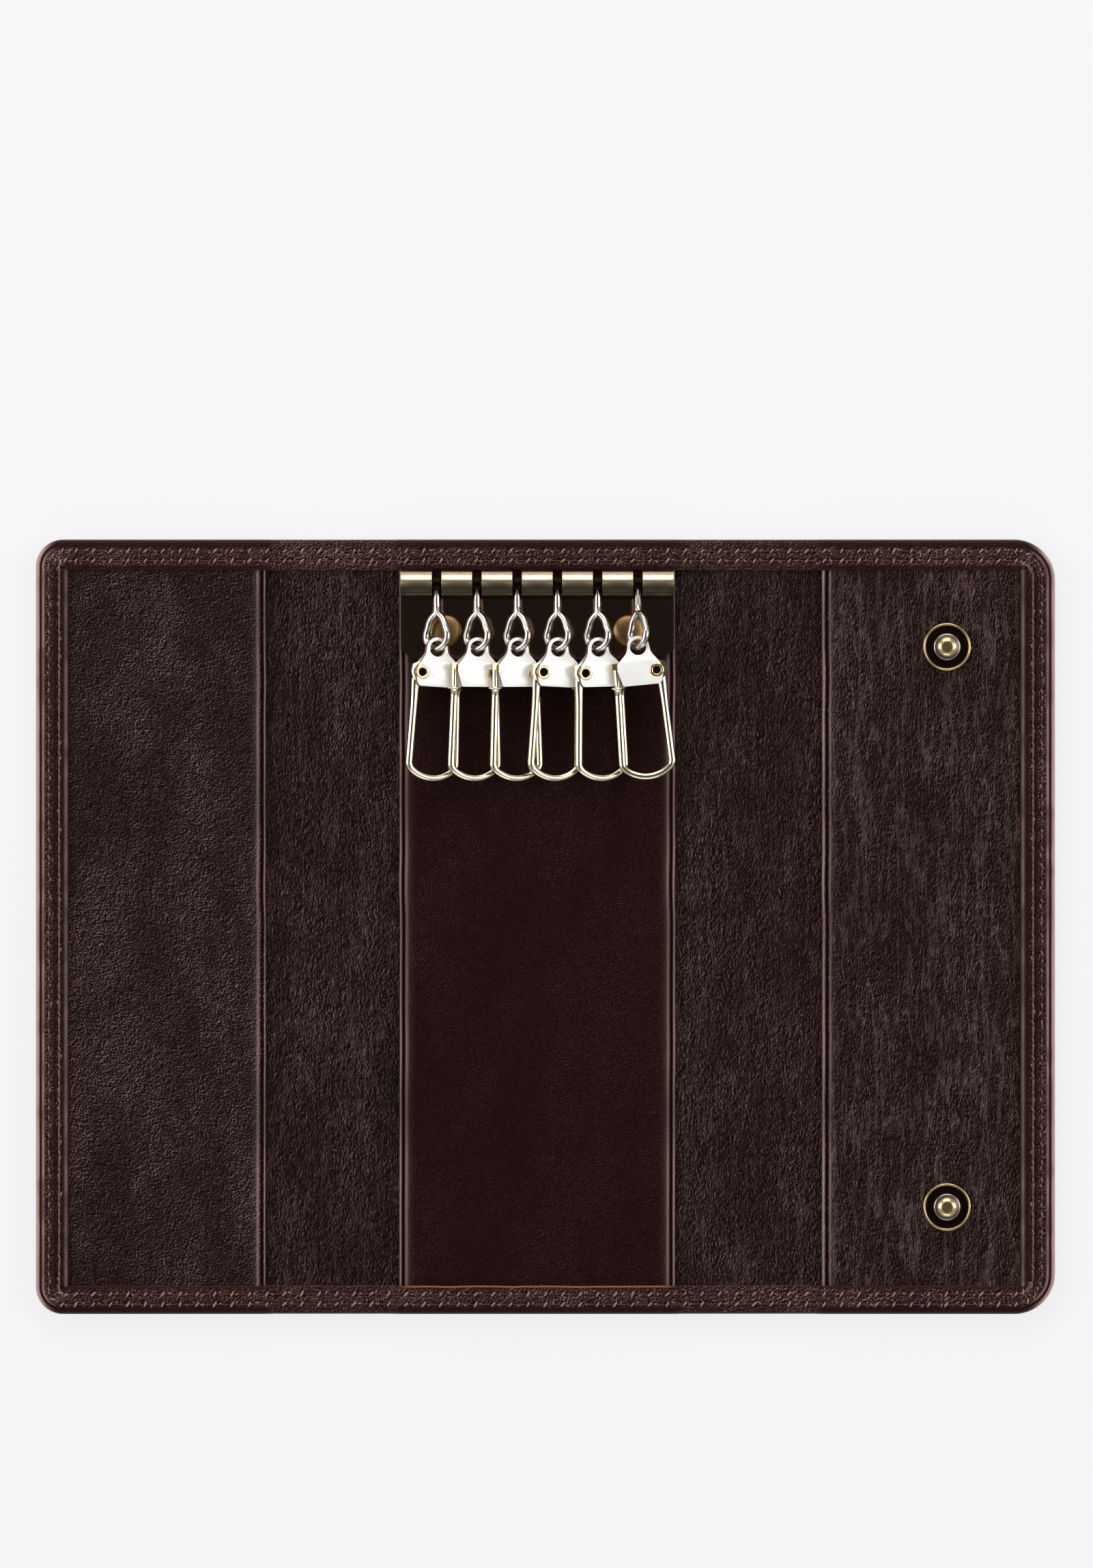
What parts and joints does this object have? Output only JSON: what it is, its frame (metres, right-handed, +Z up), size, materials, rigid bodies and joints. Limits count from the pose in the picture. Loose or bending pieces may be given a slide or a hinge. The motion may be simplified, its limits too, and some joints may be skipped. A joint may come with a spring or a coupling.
{
  "type": "key case",
  "caption": "Open tri-fold leather key case with turned stitched edges, two slip pockets, press studs and a rolled metal rail of swinging key hooks with wire loops.",
  "frame": {"origin": "middle of the open case's footprint, at the level of the table it lies on", "axes": "+X across the three panels to the flap with the studs, +Y up the case to the edge with the key rail, +Z up from the table through the leather"},
  "size_m": [0.1494, 0.1134, 0.0089],
  "materials": {
    "cover_leather": "grained, waxed, dark brown",
    "pocket_leather": "pebbled, dark brown",
    "panel_leather": "smooth, glossy, nearly black brown",
    "lining_leather": "creased, dark brown",
    "rail_metal": "polished, slightly warm",
    "wire_metal": "polished, pale",
    "body_metal": "polished",
    "rivet_metal": "polished",
    "spring_metal": "plain",
    "snap_metal": "antique, burnished"
  },
  "bodies": {
    "centre": {"cover_centre": "cover_leather", "lining_centre": "lining_leather", "centre_panel": "panel_leather", "key_rail": "rail_metal", "rail_rivet_1": "snap_metal", "rail_rivet_2": "snap_metal"},
    "left_strip_1": {"left_fold_1": "cover_leather", "left_fold_lining_1": "lining_leather"},
    "left_strip_2": {"left_fold_2": "cover_leather", "left_fold_lining_2": "lining_leather"},
    "left_strip_3": {"left_fold_3": "cover_leather", "left_fold_lining_3": "lining_leather"},
    "left_flap": {"cover_left": "cover_leather", "lining_left": "lining_leather", "left_pocket": "pocket_leather", "snap_socket_1": "snap_metal", "snap_socket_2": "snap_metal", "socket_post_1": "snap_metal", "socket_post_2": "snap_metal", "socket_spring_1": "spring_metal", "socket_spring_2": "spring_metal"},
    "right_strip_1": {"right_fold_1": "cover_leather", "right_fold_lining_1": "lining_leather"},
    "right_strip_2": {"right_fold_2": "cover_leather", "right_fold_lining_2": "lining_leather"},
    "right_strip_3": {"right_fold_3": "cover_leather", "right_fold_lining_3": "lining_leather"},
    "right_flap": {"cover_right": "cover_leather", "lining_right": "lining_leather", "right_pocket": "pocket_leather", "snap_stud_1": "snap_metal", "snap_stud_2": "snap_metal", "snap_cap_1": "snap_metal", "snap_cap_2": "snap_metal"},
    "link_1": {"link_1": "wire_metal"},
    "hook_1": {"hook_body_1": "body_metal", "hook_rivet_1": "rivet_metal"},
    "loop_1": {"key_loop_1": "wire_metal"},
    "link_2": {"link_2": "wire_metal"},
    "hook_2": {"hook_body_2": "body_metal", "hook_rivet_2": "rivet_metal"},
    "loop_2": {"key_loop_2": "wire_metal"},
    "link_3": {"link_3": "wire_metal"},
    "hook_3": {"hook_body_3": "body_metal", "hook_rivet_3": "rivet_metal"},
    "loop_3": {"key_loop_3": "wire_metal"},
    "link_4": {"link_4": "wire_metal"},
    "hook_4": {"hook_body_4": "body_metal", "hook_rivet_4": "rivet_metal"},
    "loop_4": {"key_loop_4": "wire_metal"},
    "link_5": {"link_5": "wire_metal"},
    "hook_5": {"hook_body_5": "body_metal", "hook_rivet_5": "rivet_metal"},
    "loop_5": {"key_loop_5": "wire_metal"},
    "link_6": {"link_6": "wire_metal"},
    "hook_6": {"hook_body_6": "body_metal", "hook_rivet_6": "rivet_metal"},
    "loop_6": {"key_loop_6": "wire_metal"}
  },
  "joints": [
    {"name": "left_fold_turn_1", "type": "hinge", "parent": "centre", "child": "left_strip_1", "pos_m": [-0.02461, 0, 0.0028], "axis": [0, 1, 0], "range_deg": [0, 45]},
    {"name": "left_fold_turn_2", "type": "hinge", "parent": "left_strip_1", "child": "left_strip_2", "pos_m": [-0.029, 0, 0.0028], "axis": [0, 1, 0], "range_deg": [0, 45]},
    {"name": "left_fold_turn_3", "type": "hinge", "parent": "left_strip_2", "child": "left_strip_3", "pos_m": [-0.0334, 0, 0.0028], "axis": [0, 1, 0], "range_deg": [0, 45]},
    {"name": "left_fold_turn_4", "type": "hinge", "parent": "left_strip_3", "child": "left_flap", "pos_m": [-0.03779, 0, 0.0028], "axis": [0, 1, 0], "range_deg": [0, 45]},
    {"name": "right_fold_turn_1", "type": "hinge", "parent": "centre", "child": "right_strip_1", "pos_m": [0.02083, 0, 0.0028], "axis": [0, -1, 0], "range_deg": [0, 45]},
    {"name": "right_fold_turn_2", "type": "hinge", "parent": "right_strip_1", "child": "right_strip_2", "pos_m": [0.02678, 0, 0.0028], "axis": [0, -1, 0], "range_deg": [0, 45]},
    {"name": "right_fold_turn_3", "type": "hinge", "parent": "right_strip_2", "child": "right_strip_3", "pos_m": [0.03272, 0, 0.0028], "axis": [0, -1, 0], "range_deg": [0, 45]},
    {"name": "right_fold_turn_4", "type": "hinge", "parent": "right_strip_3", "child": "right_flap", "pos_m": [0.03867, 0, 0.0028], "axis": [0, -1, 0], "range_deg": [0, 45]},
    {"name": "link_1_lift", "type": "hinge", "parent": "centre", "child": "link_1", "pos_m": [-0.0159, 0.0502, 0.00502], "axis": [-1, 0, 0], "range_deg": [0, 155]},
    {"name": "hook_1_swing", "type": "hinge", "parent": "link_1", "child": "hook_1", "pos_m": [-0.0159, 0.04067, 0.00619], "axis": [-0.3746, 0, -0.9272], "range_deg": [0, 18]},
    {"name": "loop_1_open", "type": "hinge", "parent": "hook_1", "child": "loop_1", "pos_m": [-0.01831, 0.03726, 0.00717], "axis": [-0.3746, 0, -0.9272], "range_deg": [0, 90]},
    {"name": "link_2_lift", "type": "hinge", "parent": "centre", "child": "link_2", "pos_m": [-0.01002, 0.0502, 0.00502], "axis": [-1, 0, 0], "range_deg": [0, 155]},
    {"name": "hook_2_swing", "type": "hinge", "parent": "link_2", "child": "hook_2", "pos_m": [-0.01002, 0.04067, 0.00619], "axis": [-0.3746, 0, -0.9272], "range_deg": [0, 18]},
    {"name": "loop_2_open", "type": "hinge", "parent": "hook_2", "child": "loop_2", "pos_m": [-0.00782, 0.0371, 0.00531], "axis": [0.3746, 0, 0.9272], "range_deg": [0, 10]},
    {"name": "link_3_lift", "type": "hinge", "parent": "centre", "child": "link_3", "pos_m": [-0.00414, 0.0502, 0.00502], "axis": [-1, 0, 0], "range_deg": [0, 155]},
    {"name": "hook_3_swing", "type": "hinge", "parent": "link_3", "child": "hook_3", "pos_m": [-0.00414, 0.04067, 0.00619], "axis": [-0.3746, 0, -0.9272], "range_deg": [0, 18]},
    {"name": "loop_3_open", "type": "hinge", "parent": "hook_3", "child": "loop_3", "pos_m": [-0.00189, 0.03714, 0.00528], "axis": [0.3746, 0, 0.9272], "range_deg": [0, 10]},
    {"name": "link_4_lift", "type": "hinge", "parent": "centre", "child": "link_4", "pos_m": [0.00174, 0.0502, 0.00502], "axis": [-1, 0, 0], "range_deg": [0, 155]},
    {"name": "hook_4_swing", "type": "hinge", "parent": "link_4", "child": "hook_4", "pos_m": [0.00174, 0.04067, 0.00619], "axis": [-0.3746, 0, -0.9272], "range_deg": [0, 18]},
    {"name": "loop_4_open", "type": "hinge", "parent": "hook_4", "child": "loop_4", "pos_m": [-0.00063, 0.03723, 0.00715], "axis": [-0.3746, 0, -0.9272], "range_deg": [0, 90]},
    {"name": "link_5_lift", "type": "hinge", "parent": "centre", "child": "link_5", "pos_m": [0.00762, 0.0502, 0.00502], "axis": [-1, 0, 0], "range_deg": [0, 155]},
    {"name": "hook_5_swing", "type": "hinge", "parent": "link_5", "child": "hook_5", "pos_m": [0.00762, 0.04067, 0.00619], "axis": [-0.3746, 0, -0.9272], "range_deg": [0, 18]},
    {"name": "loop_5_open", "type": "hinge", "parent": "hook_5", "child": "loop_5", "pos_m": [0.00548, 0.03706, 0.00706], "axis": [-0.3746, 0, -0.9272], "range_deg": [0, 90]},
    {"name": "link_6_lift", "type": "hinge", "parent": "centre", "child": "link_6", "pos_m": [0.0135, 0.0502, 0.00502], "axis": [-1, 0, 0], "range_deg": [0, 155]},
    {"name": "hook_6_swing", "type": "hinge", "parent": "link_6", "child": "hook_6", "pos_m": [0.0135, 0.04089, 0.00735], "axis": [0, 0, 1], "range_deg": [0, 10]},
    {"name": "loop_6_open", "type": "hinge", "parent": "hook_6", "child": "loop_6", "pos_m": [0.01623, 0.03758, 0.00735], "axis": [0, 0, 1], "range_deg": [0, 80]}
  ],
  "couplings": [
    {"joint": "left_fold_turn_2", "follows": "left_fold_turn_1", "ratio": 1},
    {"joint": "right_fold_turn_2", "follows": "right_fold_turn_1", "ratio": 1},
    {"joint": "left_fold_turn_3", "follows": "left_fold_turn_1", "ratio": 1},
    {"joint": "right_fold_turn_3", "follows": "right_fold_turn_1", "ratio": 1},
    {"joint": "left_fold_turn_4", "follows": "left_fold_turn_1", "ratio": 1},
    {"joint": "right_fold_turn_4", "follows": "right_fold_turn_1", "ratio": 1},
    {"joint": "link_2_lift", "follows": "link_1_lift", "ratio": 1},
    {"joint": "link_3_lift", "follows": "link_1_lift", "ratio": 1},
    {"joint": "link_4_lift", "follows": "link_1_lift", "ratio": 1},
    {"joint": "link_5_lift", "follows": "link_1_lift", "ratio": 1},
    {"joint": "link_6_lift", "follows": "link_1_lift", "ratio": 1}
  ]
}
